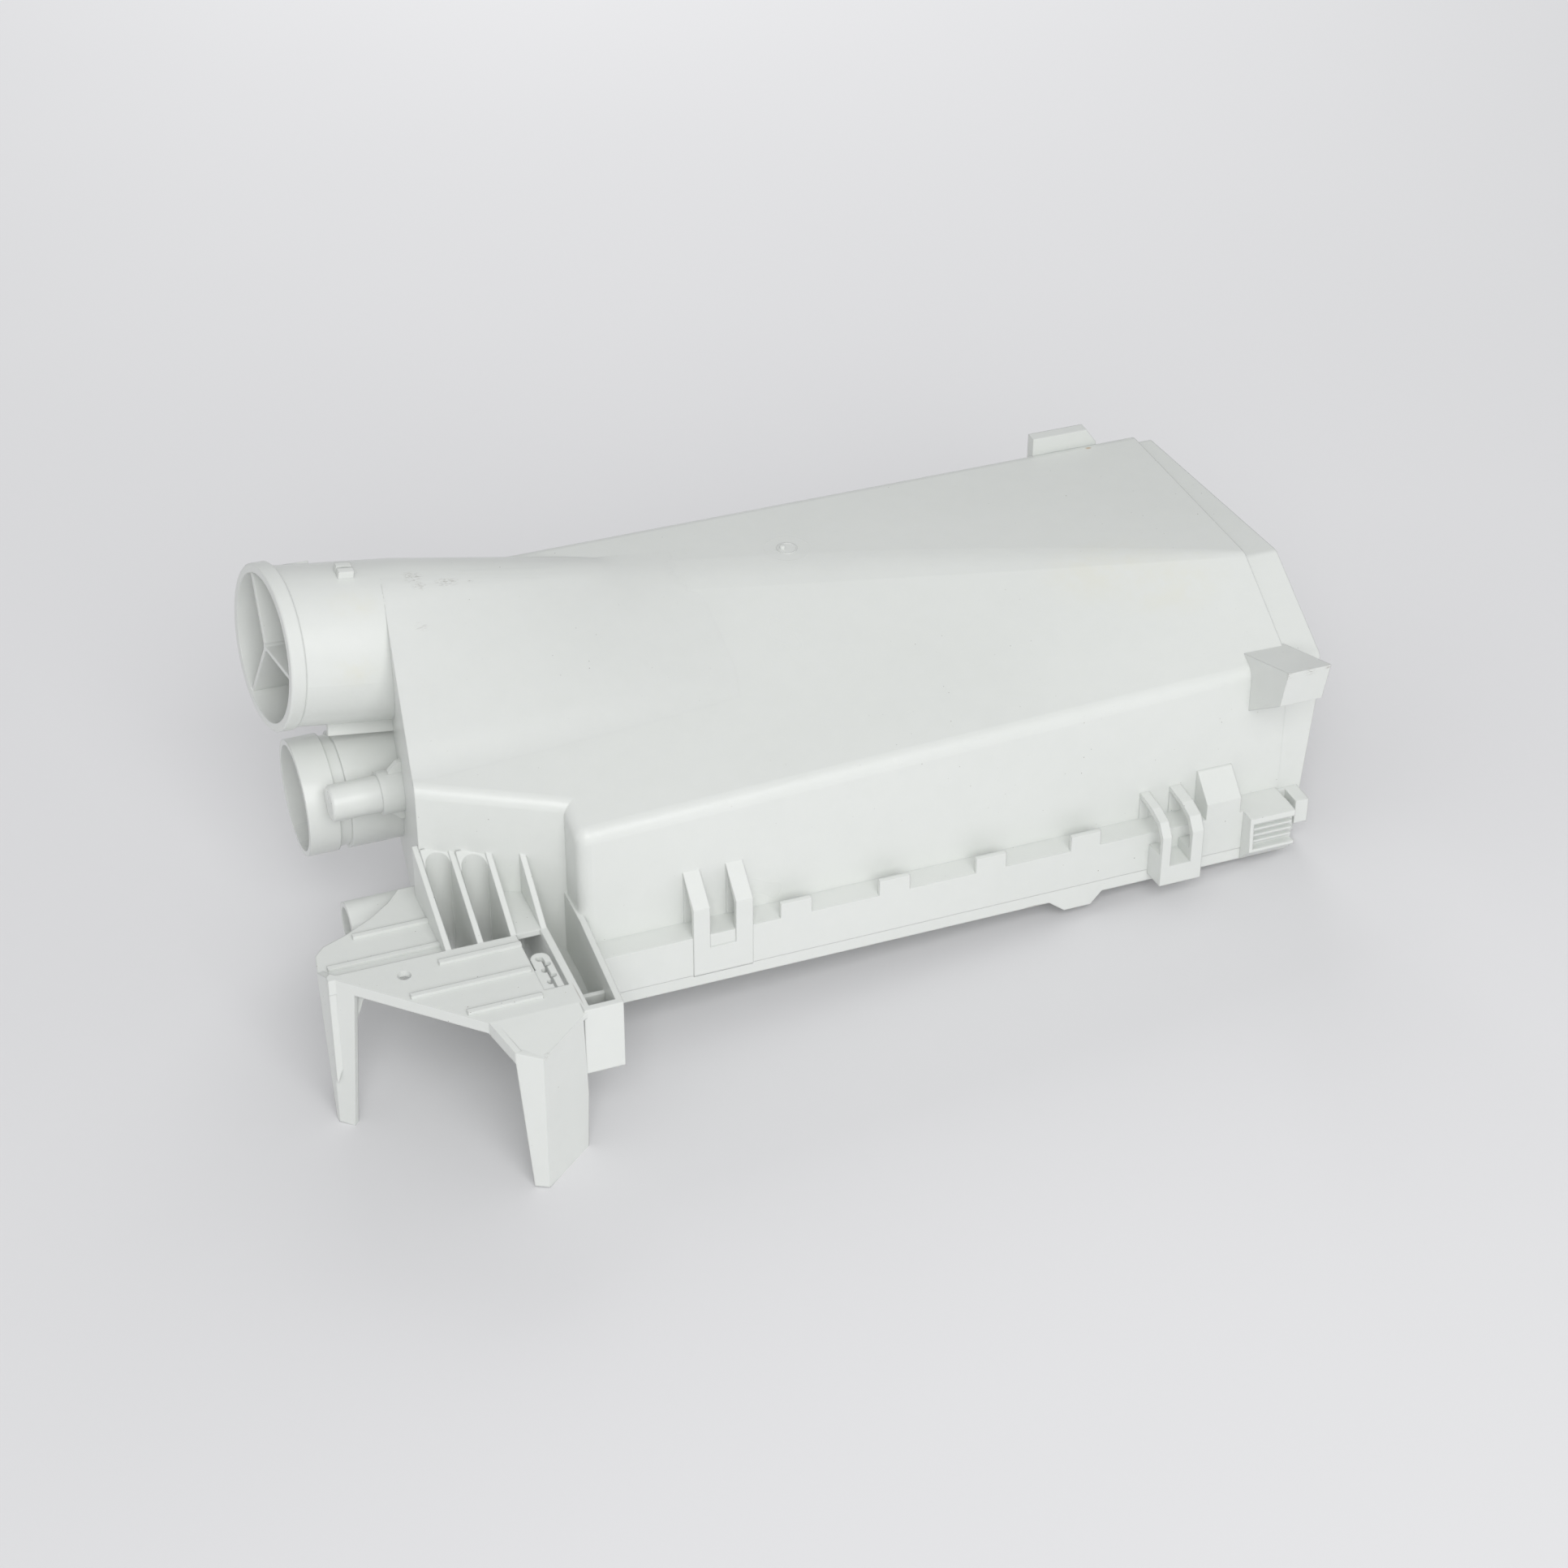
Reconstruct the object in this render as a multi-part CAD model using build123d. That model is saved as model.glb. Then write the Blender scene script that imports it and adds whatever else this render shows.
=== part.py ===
from build123d import *
from math import atan2, degrees
import os

# Drawer housing of a washing machine's detergent dispenser, lying upside down on its cover.
# One thin-walled moulding carries the drawer bay, the outlet and inlet tubes, the corner bracket
# with its two legs, and the snap features of its flange. A thin cover plate closes it below.
#
# Frame, in millimetres: +X runs along the flange towards the open drawer mouth, +Y runs away
# from the flange's front face (Y = 0), and +Z is up, from the underside of the cover (Z = 0).
# X = 0 is a little right of the pocket, where the flange's front face comes free of the bracket.
# The finished pieces are then moved together, so that the origin is the middle of the foot of the
# moulding's bounding box, which holds the cover too.

# ---- main sizes
bay_length = 267.0        # from X = 0 to the end of the full bay section
bay_depth = 153.0         # from the flange's front face to the far wall
bay_height = 104.0        # from the cover's underside to the flat top
plate_height = 34.4       # from the cover's underside to the top of the bracket's plate
leg_length = 66.4         # from the plate's top to the left foot
outlet_radius = 30.2

# ---- walls and joins
wall = 2.4                # wall of the moulding and of the cover
rib_wall = 2.2            # ribs and thin walls of the bracket
eps = 0.05                # overlap that makes touching solids one
reach = bay_length + bay_depth          # longer than anything that a cutter has to pass

# ---- drawer bay
body_right = bay_length   # end of the full bay section
rim_step = 2.4            # how far the mouth rim steps in from the bay
mouth_foot_x = body_right + 8.5     # mouth rim's end at the near wall's foot
mouth_reach = 25.0        # past the mouth's end plane, before it is cut
mouth_lean = 0.09         # how far the rim's end moves to +X for each millimetre of height
mouth_skew = 0.07         # how far it moves to -X for each millimetre of Y
near_wall_y = 9.6         # near wall's outer face at its foot
near_wall_lean = 1.6      # how far the near wall leans in at its crease
crease_z = bay_height - 34.1        # crease between near wall and near panel, at X = 0
crease_rise = 0.032       # rise of the crease for each millimetre of X
crease_radius = 6.0
top_z = bay_height
far_wall_y = bay_depth
far_radius = 6.0
bay_sections = (          # X, the ridge's Y there between near panel and top, and its radius
    (-75.0, far_wall_y - 10.0, 24.0),
    (60.0, far_wall_y - 38.3, 60.0),
    (body_right, 52.0, 6.0),
)

# ---- left end in plan
notch_x = -15.2           # end of the near wall
notch_y = 26.6            # back of the step at the near wall's end
corner_x = -64.0          # corner between recess wall and end wall
corner_y = 48.0
recess_slope = (corner_y - notch_y) / (corner_x - notch_x)
end_wall_skew = 0.15      # how far the end wall moves to +X for each millimetre of Y

# ---- flange and cover
cover_height = 5.0        # cover plate with its rim
flange_top = 22.2
flange_left = -14.5
flange_right = body_right - 1.0

# ---- battlement tabs on the flange
tab_first_x = 57.6
tab_pitch = 38.9
tab_count = 4
tab_width = 12.2
tab_height = 6.4
tab_thick = 1.8

# ---- outlet tube
outlet_root = (-48.0, far_wall_y - 20.2, top_z - 16.0)      # where its axis passes the end wall
outlet_turn = 0.0         # sideways slope of the axis
outlet_drop = 0.142       # fall of the axis towards the bay
mouth_cut_turn = 0.107    # sideways slope of the axis of the mouth's collar
mouth_cut_drop = 0.10     # fall of the collar's axis towards the bay
outlet_length = 49.5      # root to mouth
outlet_sink = (47.0, far_wall_y - 25.0, top_z - 25.5)       # where the tube has sunk into the bay's top
outlet_sink_radius = outlet_radius - 6.2
outlet_wall = 2.0
outlet_collar = 1.5       # how far the collar stands out
outlet_collar_length = 6.0
collar_seam_turn = 180.0  # keeps the collar's seam line on the far side, clear of the tube's
spoke_thick = 1.6
spoke_depth = 22.0
spoke_turn = 4.0          # first spoke, from the near side up
spoke_set_back = 1.0
lug_turns = (1.0, -6.0)   # round the tube from its top, towards the near side where negative
lug_place = 21.0          # from the root along the axis
lug_width = 2.6
lug_height = 3.0
lug_length = 6.0
web_turn = 20.0           # web below the tube, from its lowest line towards the near side
web_length = 26.0
web_height = 5.0

# ---- second tube, spigot and stub, all along X
inlet_y = far_wall_y - 27.4
inlet_z = 30.5
inlet_radius = 22.8
inlet_mouth_x = -92.0
inlet_collar_length = 12.0
inlet_wall = 2.2
inlet_neck = 1.4          # depth of the groove behind the collar
inlet_neck_length = 4.5
spigot_y = 97.0
spigot_z = 45.0
spigot_radius = 7.0
spigot_tip_x = -85.0
spigot_boss = 1.3
spigot_boss_length = 9.5
fin_length = 9.0
fin_height = 4.5
stub_y = 60.0
stub_radius = 9.6
stub_wall = 2.0
stub_z = cover_height + stub_radius + 0.6
stub_mouth_x = -90.0

# ---- corner bracket
plate_z = plate_height    # top of the bracket's plate
field_drop = 4.0          # how much lower the field behind the ridge lies
plate_thick = 2.4
skirt = 4.8               # height of the plate's edge
leg_foot_z = plate_z - leg_length       # left foot
right_foot_z = leg_foot_z + 4.0
ridge_line_y = 9.6
left_corner = (-109.5, 9.8)
left_back = (-110.8, 18.4)
back_outline = ((-109.0, 28.0), (-105.1, 32.2), (-95.7, 36.2), (-84.6, 42.8), (-76.4, 49.5), (-71.0, 56.0))
diagonal_end = (-63.4, -34.6)
leg_left = (-58.9, -50.6)
leg_front = (-50.4, -55.4)
leg_right = (-31.2, -40.8)
facet_drop = 0.19         # fall of the facet over the right leg

window_left_x = -40.0
window_right_x = -31.0
window_front_y = -24.0

# ---- pocket at the bracket's right
pocket_left_x = -29.4
pocket_right_x = -13.8
pocket_front_x = -16.2    # right wall's outer face at the pocket's front
pocket_front_y = -40.0
divider_y = -23.5
divider_thick = 2.0
divider_drop = 8.0        # how far the divider's top lies below the plate
pocket_floor_z = 6.0


# ---- snap clips
clip_skin = 2.0           # front and top of an arm, round its side hollow
clip_chin = 1.0           # how far the base bar's lower edge slopes up to its front
left_clip = {
    "x": 23.6,
    "arms": (6.4, 6.6),
    "gap": 10.0,
    "base_z": 4.4,
    "gap_z": 16.8,
    "front": -0.6,
    "brow": ((-0.6, 35.0), (11.0, 45.0)),
    "hollow_depth": 4.0,
}
right_clip = {
    "x": body_right - 59.7,
    "arms": (3.8, 4.8),
    "gap": 8.6,
    "base_z": 3.4,
    "gap_z": 13.0,
    "front": -10.6,
    "brow": ((-10.6, 26.5), (-7.0, 31.5), (0.0, 33.5), (11.0, 34.0)),
    "hollow_depth": 9.0,
}

# ---- blocks at the right end
catch_x = (body_right - 20.0, body_right - 0.8)
catch_front = 7.0         # how far the catch stands out from the flange
catch_lip = 0.6           # how far its foot stands out
catch_foot_z = 0.4
catch_chin_z = 7.2        # lower edge of its front face
catch_lean = 1.0          # how far the front face leans back at its top
catch_recess_z = (8.4, flange_top - 2.6)
catch_recess_depth = 3.0
catch_frame = 1.6         # width of the frame at the recess's left
catch_rib_count = 3
catch_rib_thick = 1.0
end_block_x = body_right + 2.6
end_block_length = 5.6
end_block_z = (10.8, 21.3)
wedge_x = body_right - 36.0
wedge_width = 14.5
wedge_z = (20.0, 29.1, 38.3)        # foot, top of its front face, and its top at the wall
block_x = (body_right - 15.8, body_right + 1.8)
block_top = top_z - 10.6
block_front_y = -15.2
block_foot = (12.0, top_z - 44.0)           # Y, Z where its underside leaves the near wall
block_face_foot = (-11.2, top_z - 27.7)     # lower edge of its front face
block_back = (20.0, top_z - 22.5)           # where its top meets the near panel
edge_radius = 5.0
far_plate_x = (body_right - 44.0, body_right - 16.0)
far_plate_height = 6.4

# ---- snap tongue under the cover
tongue_x = 166.5
tongue_steps = (0.0, 6.5, 17.5, 22.0)   # along X: left end, both ends of its lower edge, right end
tongue_height = 5.2
tongue_thick = 3.0

# ---- bracket details
rib_places = (-66.0, -54.2, -41.9)
rib_top_z = plate_z + 18.2
rib_foot_z = 8.0
cove_least = 0.4          # filling left between the hollow and a rib
rib_wide = 2.2
rib_high = 1.2
plate_rib_runs = (        # X from and to, Y, and how far below the plate's top the rib's foot lies
    (-70.4, -39.2, 3.2, 0.0),
    (-84.8, -41.0, -11.7, 0.0),
    (-68.8, -41.6, -27.2, 0.0),
    (-107.0, -66.0, 18.4, field_drop),
    (-94.0, -66.0, 33.4, field_drop),
)
leg_top_width = 11.0      # left leg's front, under the skirt and at its foot
leg_foot_width = 6.4
leg_side_width = 2.4      # left leg's side at its foot
fin_top_width = 16.0      # fin inside the left leg
fin_bend_width = 12.0
fin_bend_drop = 8.0
fin_foot_z = -12.0
bend_drop = facet_drop * 13.0       # the facet's fall at the right leg's left corner
corner_drop = facet_drop * 20.0     # and at its front corner
right_leg_drop = 1.2      # and at its right corner
right_leg_foot_share = 0.45         # share of the right leg's left face that its foot leaves out
right_leg_knee = (1.5, -2.0)        # how far its right edge bulges, and the height of that
hook_x = (-39.4, -32.4)   # wire hook in the window
hook_tip_y = -2.7
hook_root_y = -12.0       # where it comes free of the plate
tooth_radius = 1.3
tooth_pitch = 3.4
tooth_count = 5
hole_place = (-83.5, 1.2)
hole_radius = 2.4


def plan(points, height, low=0.0, inset=0.0):
    """Upright prism on a plan outline, inset evenly."""
    face = make_face(Polyline(*points, close=True))
    if inset:
        face = offset(face, -inset, kind=Kind.INTERSECTION)
    return extrude(Pos(0, 0, low) * face, height)


def block(x, y, z):
    """Box between two limits on each axis."""
    return Pos(x[0], y[0], z[0]) * Box(x[1] - x[0], y[1] - y[0], z[1] - z[0], align=Align.MIN)


def panel(start, end, outline, thick):
    """Upright panel on the plan line from start to end; outline is (along, height), skin on the line."""
    run = Vector(end[0] - start[0], end[1] - start[1], 0).normalized()
    plane = Plane(origin=(start[0], start[1], 0), x_dir=run, z_dir=(run.Y, -run.X, 0))
    return extrude(plane * make_face(Polyline(*outline, close=True)), -thick)


def rib_plate(x, outline, thick):
    """Panel across X at x, from (Y, Z) points."""
    return extrude(Plane.YZ.offset(x) * make_face(Polyline(*outline, close=True)), thick)


def ahead(plane):
    """Everything on the side that a plane faces."""
    return plane * Box(2 * reach, 2 * reach, reach, align=(Align.CENTER, Align.CENTER, Align.MIN))


def recess_y(x):
    """Y of the recess wall's outer face at x."""
    return notch_y + recess_slope * (x - notch_x)


def end_wall_x(y):
    """X of the end wall's outer face at y."""
    return corner_x + end_wall_skew * (y - corner_y)


# ---------------------------------------------------------------- drawer bay

def body_face(x, ridge_y, ridge_radius, inset):
    """Section of the bay at x, inset evenly from its outer skin."""
    crease = crease_z + crease_rise * x
    face = make_face(Polyline(
        (near_wall_y, 0), (near_wall_y + near_wall_lean, crease), (ridge_y, top_z),
        (far_wall_y, top_z), (far_wall_y, 0), close=True))
    if inset:
        face = offset(face, -inset, kind=Kind.INTERSECTION)
    corners = (
        (near_wall_y, crease, crease_radius),
        (ridge_y, top_z, ridge_radius),
        (far_wall_y, top_z, far_radius),
    )
    for y, z, radius in corners:
        face = fillet(face.vertices().sort_by_distance((y, z, 0))[0], radius - inset)
    return (Plane.YZ.offset(x) * face).faces()[0]


def bay_form(inset):
    """The bay lofted along X and trimmed to its left end in plan."""
    form = loft([body_face(x, ridge_y, radius, inset) for x, ridge_y, radius in bay_sections])
    deep = far_wall_y + 40
    outline = (
        (notch_x, -40), (notch_x, notch_y), (corner_x, corner_y),
        (end_wall_x(deep), deep), (reach, deep), (reach, -40))
    return form & plan(outline, top_z + 20, -10, inset)


def mouth_form(inset):
    """The mouth rim, running on from the bay's right end to its leaning end plane."""
    x, ridge_y, radius = bay_sections[-1]
    face = body_face(x, ridge_y, radius, rim_step + inset)
    rim = extrude(face, mouth_reach) + extrude(face, -wall - inset)
    return rim if inset else rim & mouth_side()


def mouth_side():
    """Everything on the bay's side of the mouth's end plane."""
    end = Plane(origin=(mouth_foot_x, near_wall_y, cover_height), z_dir=(1, mouth_skew, -mouth_lean))
    return end * Box(3 * reach, 3 * reach, reach, align=(Align.CENTER, Align.CENTER, Align.MAX))


def near_cheek():
    """The near wall's run on to the mouth, flush with the bay."""
    cheek = block((body_right - wall, body_right + mouth_reach), (near_wall_y, near_wall_y + 2 * wall),
                  (0, crease_z + crease_rise * body_right - crease_radius))
    lean = near_wall_lean / crease_z
    face = Plane(origin=(body_right, near_wall_y, 0), z_dir=(0, -1, lean))
    return cheek & mouth_side() & face * Box(reach, reach, reach, align=(Align.CENTER, Align.CENTER, Align.MAX))


def flange_form(inset):
    """The wide foot of the near wall, whose front face carries the snap features."""
    return block((flange_left + inset, flange_right - inset),
                 (inset, near_wall_y + near_wall_lean + wall + eps),
                 (0, flange_top - inset))


def soften(form, radius):
    """Round the near wall's left end and the top edge of the recess."""
    step_top = form.edges().sort_by_distance((notch_x, 21, 72))[0]
    wall_top = form.edges().sort_by_distance((-40, 37, 76))[0]
    wall_end = form.edges().sort_by_distance((notch_x, near_wall_y + 1, 32))[0]
    return fillet([step_top, wall_top, wall_end], radius)


# ---------------------------------------------------------------- outlet tube

def outlet_plane():
    """Frame on the outlet tube's axis at its root: Z out to the mouth, Y up, X to the near side."""
    return Plane(origin=outlet_root, x_dir=(0, -1, 0), z_dir=(-1, -outlet_turn, outlet_drop))


def collar_plane():
    """Frame on the outlet's mouth, square to its collar and pointing outwards."""
    centre = outlet_plane().offset(outlet_length).origin
    return Plane(origin=centre, x_dir=(0, -1, 0), z_dir=(-1, -mouth_cut_turn, mouth_cut_drop))


def outlet_form(inset):
    """The outlet tube and its tapering tail that sinks into the bay's top.

    Tube and tail touch one ball at the tube's root, so they meet on a plane through both.
    """
    radius = outlet_radius - inset
    plane = outlet_plane()
    run = Vector(*outlet_sink) - plane.origin
    taper = (outlet_radius - outlet_sink_radius) / run.length
    lean = (1 - taper ** 2) ** 0.5
    normal = plane.z_dir * lean - run.normalized()
    mitre = Plane(origin=plane.origin - normal * (radius * taper / normal.length ** 2), z_dir=normal)
    upright = (Align.CENTER, Align.CENTER, Align.MIN)
    tube = Pos(0, 0, -radius) * Cylinder(radius, outlet_length + 10 + radius, align=upright)
    tail = Pos(0, 0, -radius) * Cone(
        radius * (1 + taper) / lean, (radius - run.length * taper) / lean, run.length + radius, align=upright)
    tail = Plane(origin=plane.origin, x_dir=plane.x_dir, z_dir=run) * tail
    form = (plane * tube & ahead(mitre)) + (tail - ahead(mitre))
    return form if inset else form - ahead(collar_plane())


def outlet_trim():
    """Collar, lugs and web outside the outlet tube."""
    plane = outlet_plane()
    collar = collar_plane() * Rot(0, 0, collar_seam_turn) * Cylinder(
        outlet_radius + outlet_collar, outlet_collar_length, align=(Align.CENTER, Align.CENTER, Align.MAX))
    trim = chamfer(collar.edges().filter_by(GeomType.CIRCLE), outlet_collar * 0.4)
    for turn in lug_turns:
        lug = Pos(0, outlet_radius, 0) * Box(lug_width, 2 * lug_height, lug_length)
        trim += plane * Pos(0, 0, lug_place) * Rot(0, 0, turn) * lug
    web = Pos(0, -outlet_radius, web_length / 2) * Box(wall, 2 * web_height, web_length)
    return trim + plane * Rot(0, 0, web_turn) * web


def spokes():
    """Three-spoke guard inside the outlet's mouth."""
    guard = Cylinder(spoke_thick, spoke_depth, align=(Align.CENTER, Align.CENTER, Align.MIN))
    for turn in (0, 120, 240):
        arm = Box(outlet_radius - outlet_wall / 2, spoke_thick, spoke_depth,
                  align=(Align.MIN, Align.CENTER, Align.MIN))
        guard += Rot(0, 0, spoke_turn + turn) * arm
    return collar_plane() * Pos(0, 0, -spoke_depth - spoke_set_back) * guard


# ---------------------------------------------------------------- tubes along X

def along_x(y, z, radius, x_from, x_to):
    """Cylinder along X between two places."""
    return Pos(x_from, y, z) * Rot(0, 90, 0) * Cylinder(
        radius, x_to - x_from, align=(Align.CENTER, Align.CENTER, Align.MIN))


def inlet_form():
    """Second tube with its collar and the groove behind it."""
    root = end_wall_x(inlet_y) + inlet_radius * end_wall_skew + eps
    groove_x = inlet_mouth_x + inlet_collar_length
    tube = along_x(inlet_y, inlet_z, inlet_radius, inlet_mouth_x, root)
    groove = along_x(inlet_y, inlet_z, inlet_radius + 5, groove_x, groove_x + inlet_neck_length)
    groove -= along_x(inlet_y, inlet_z, inlet_radius - inlet_neck, groove_x - 1, root)
    return tube - groove


def spigot_form():
    """Blind spigot on a boss, with a fin above and below."""
    root = end_wall_x(spigot_y) + spigot_radius * 0.5
    pin = along_x(spigot_y, spigot_z, spigot_radius, spigot_tip_x, root)
    pin = chamfer(pin.edges().sort_by(Axis.X)[0], 0.8)
    boss = along_x(spigot_y, spigot_z, spigot_radius + spigot_boss,
                   root - spigot_boss_length - spigot_radius * 0.5, root)
    tall = 2 * (spigot_radius + spigot_boss + fin_height)
    fin = Pos(root, spigot_y, spigot_z) * Box(
        2 * fin_length, wall, tall, align=Align.CENTER)
    fin = chamfer(fin.edges().filter_by(Axis.Y), fin_height * 0.8)
    return pin + boss + fin


# ---------------------------------------------------------------- snap features

def tabs():
    """Row of battlement tabs standing on the flange's front edge."""
    tab = block((0, tab_width), (0, tab_thick), (flange_top - wall, flange_top + tab_height))
    row = Pos(tab_first_x, 0, 0) * tab
    for index in range(1, tab_count):
        row += Pos(tab_first_x + index * tab_pitch, 0, 0) * tab
    return row


def clip(x, arms, gap, base_z, gap_z, front, brow, hollow_depth):
    """U-shaped snap: two arms rise from a base bar and lean back to the near wall.

    brow holds the (Y, Z) points of the arms' side outline from the front face's top to the wall.
    """
    back = near_wall_y + wall / 2
    side = ((back, cover_height), (0, cover_height), (0, base_z), (front, base_z + clip_chin), *brow)
    width = arms[0] + gap + arms[1]
    whole = rib_plate(x, side, width)
    slot = block((x + arms[0], x + arms[0] + gap), (front - 1, back + 1), (gap_z, brow[-1][1] + 5))
    rim = [(y + clip_skin if y < near_wall_y else near_wall_y, z - clip_skin) for y, z in brow]
    hollow = ((near_wall_y, gap_z + 3), (front + clip_skin, gap_z + 5), *rim)
    for side_x, arm in ((x, arms[0]), (x + arms[0] + gap, arms[1])):
        whole -= rib_plate(side_x - eps, hollow, min(hollow_depth, arm) + 2 * eps)
    return whole - slot


def box_catch():
    """Box-shaped catch at the flange's right end, its front face recessed behind level ribs."""
    x_left, x_right = catch_x
    side = ((wall, cover_height), (0, cover_height), (0, catch_foot_z), (-catch_lip, catch_foot_z),
            (-catch_front, catch_chin_z), (-catch_front + catch_lean, flange_top), (wall, flange_top))
    body = rib_plate(x_left, side, x_right - x_left)
    low, high = catch_recess_z
    recess_left = x_left + catch_frame
    floor_y = -catch_front + catch_recess_depth
    body -= block((recess_left, x_right + 1), (-catch_front - 1, floor_y), (low, high))
    for index in range(1, catch_rib_count + 1):
        z = low + index * (high - low) / (catch_rib_count + 1)
        body += block((recess_left - eps, x_right - 0.8), (floor_y - 1.6, floor_y + 0.2),
                      (z - catch_rib_thick / 2, z + catch_rib_thick / 2))
    end = block((end_block_x, end_block_x + end_block_length), (0, near_wall_y + wall), end_block_z)
    link = block((x_right - 3, end_block_x + 1), (near_wall_y - 1, near_wall_y + wall),
                 (cover_height, end_block_z[1]))
    return body + end + link


def wedge():
    """Ramp on the near wall between the right clip and the box catch."""
    foot, brow, top = wedge_z
    back = near_wall_y + wall
    return rib_plate(wedge_x, ((back, foot), (0, foot), (0, brow), (near_wall_y, top), (back, top)), wedge_width)


def corner_block():
    """Block over the near panel's right end, hollow from the mouth side."""
    x_left, x_right = block_x
    foot, face_foot, back = block_foot, block_face_foot, block_back
    side = make_face(Polyline(foot, face_foot, (block_front_y, block_top), back, (back[0], foot[1]), close=True))
    body = extrude(Plane.YZ.offset(x_left) * side, x_right - x_left)
    room = extrude(Plane.YZ.offset(x_left + wall) * offset(side, -wall, kind=Kind.INTERSECTION), x_right - x_left)
    return body - room


def far_block():
    """Upright plate on the far wall's top edge, one end sloping down."""
    low = top_z - far_radius - 2
    high = top_z + far_plate_height
    outline = ((far_plate_x[0], low), (far_plate_x[1], low), (far_plate_x[1], top_z),
               (far_plate_x[1] - 4.5, high), (far_plate_x[0], high))
    side = Plane.XZ.offset(-far_wall_y) * make_face(Polyline(*outline, close=True))
    return extrude(side, -wall, both=True)


# ---------------------------------------------------------------- corner bracket

def bracket_outline():
    """Plan of the bracket's lower field, from the diagonal back to the end wall."""
    right = rib_places[0] + rib_wall
    back_y = back_outline[-1][1]
    return (left_corner, left_back, *back_outline, (end_wall_x(back_y) + wall / 2, back_y),
            (corner_x + wall / 2, corner_y), (right, corner_y), (right, ridge_line_y))


def plate():
    """Bracket plate: upper field, lower field behind the ridge, and the sloping facet."""
    low = plate_z - plate_thick
    front_y = diagonal_end[1]
    right = pocket_left_x
    upper = plan((left_corner, diagonal_end, (right, front_y), (right, ridge_line_y)), plate_thick, low)
    behind_x = rib_places[-1] + rib_wall
    behind = plan(((behind_x, ridge_line_y - 1), (right, ridge_line_y - 1),
                   (right, recess_y(right) + 1), (behind_x, recess_y(behind_x) + 1)), plate_thick, low)
    field = plan(bracket_outline(), plate_thick, low - field_drop)
    step = block((left_corner[0], rib_places[0] + rib_wall), (ridge_line_y - wall, ridge_line_y),
                 (low - field_drop, plate_z))
    facet = plan((diagonal_end, leg_left, leg_front, leg_right, (right, pocket_front_y), (right, front_y)), plate_z)
    slab = Pos(0, front_y, plate_z) * Rot(degrees(atan2(facet_drop, 1)), 0, 0) * Box(
        reach, reach, plate_thick, align=(Align.CENTER, Align.CENTER, Align.MAX))
    return upper + behind + field + step + (facet & slab)


def distance(start, end):
    """Length of a plan line."""
    return ((end[0] - start[0]) ** 2 + (end[1] - start[1]) ** 2) ** 0.5


def left_leg():
    """Skirt of the bracket from its left back corner to the bend, with the left leg and its fin."""
    run = distance(left_corner, diagonal_end)
    edge_z = plate_z - skirt
    front = panel(left_corner, diagonal_end, (
        (0, plate_z), (run, plate_z), (run, edge_z), (leg_top_width, edge_z),
        (leg_foot_width, leg_foot_z), (0, leg_foot_z)), wall)
    side_run = distance(left_back, left_corner)
    field_z = plate_z - field_drop
    side = panel(left_back, left_corner, (
        (0, field_z), (side_run, plate_z), (side_run, leg_foot_z),
        (side_run - leg_side_width, leg_foot_z), (0, field_z - skirt)), wall)
    fin = panel(left_corner, (left_corner[0] + reach, ridge_line_y), (
        (0, field_z), (fin_top_width, field_z), (fin_bend_width, field_z - fin_bend_drop),
        (0.5, fin_foot_z), (0, fin_foot_z)), -wall)
    return front + side + fin


def right_leg():
    """Skirt of the bracket from its bend on, under the sloping facet, with the right leg."""
    bend_run = distance(diagonal_end, leg_left)
    bend_z = plate_z - bend_drop
    bend = panel(diagonal_end, leg_left, (
        (-wall, plate_z), (0, plate_z), (bend_run, bend_z), (bend_run, bend_z - skirt),
        (-wall, plate_z - skirt)), wall)
    left_run = distance(leg_left, leg_front)
    corner_z = plate_z - corner_drop
    left = panel(leg_left, leg_front, (
        (0, bend_z), (left_run, corner_z), (left_run, right_foot_z),
        (left_run * right_leg_foot_share, right_foot_z), (0, bend_z - skirt)), wall)
    right_run = distance(leg_front, leg_right)
    bulge, knee_z = right_leg_knee
    right = panel(leg_front, leg_right, (
        (0, corner_z), (right_run, plate_z - right_leg_drop), (right_run + bulge, knee_z),
        (right_run, right_foot_z), (0, right_foot_z)), wall)
    return bend + left + right


def field_edge():
    """Skirt round the back of the lower field."""
    low = plate_z - field_drop - skirt
    band = trace(Polyline(left_back, *back_outline), line_width=2 * wall)
    return extrude(Pos(0, 0, low) * band, skirt) & plan(bracket_outline(), skirt, low)


def plate_ribs():
    """Low ribs that stiffen the plate's two fields."""
    ribs = None
    for x_from, x_to, y, drop in plate_rib_runs:
        foot = plate_z - drop
        rib = block((x_from, x_to), (y - rib_wide / 2, y + rib_wide / 2), (foot - 0.5, foot + rib_high))
        ribs = rib if ribs is None else ribs + rib
    return ribs


def wall_ribs():
    """Ribs from the plate up to the recess wall, the last of them on the pocket's partition."""
    front = (rib_places[0], rib_places[-1] + rib_wall)
    ribs = block(front, (ridge_line_y - wall, ridge_line_y), (rib_foot_z, plate_z))
    for x in (*rib_places, pocket_left_x - wall / 2):
        ribs += rib_plate(x, rib_side(x), rib_wall)
    for left, right in zip(rib_places[:-1], rib_places[1:]):
        ribs += rib_cove(left + rib_wall, right)
    return ribs


def rib_side(x):
    """Side outline of the rib at x, sloping up to the recess wall."""
    back = recess_y(x) + wall / 2
    return ((ridge_line_y, rib_foot_z), (ridge_line_y, plate_z), (back, rib_top_z), (back, rib_foot_z))


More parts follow.
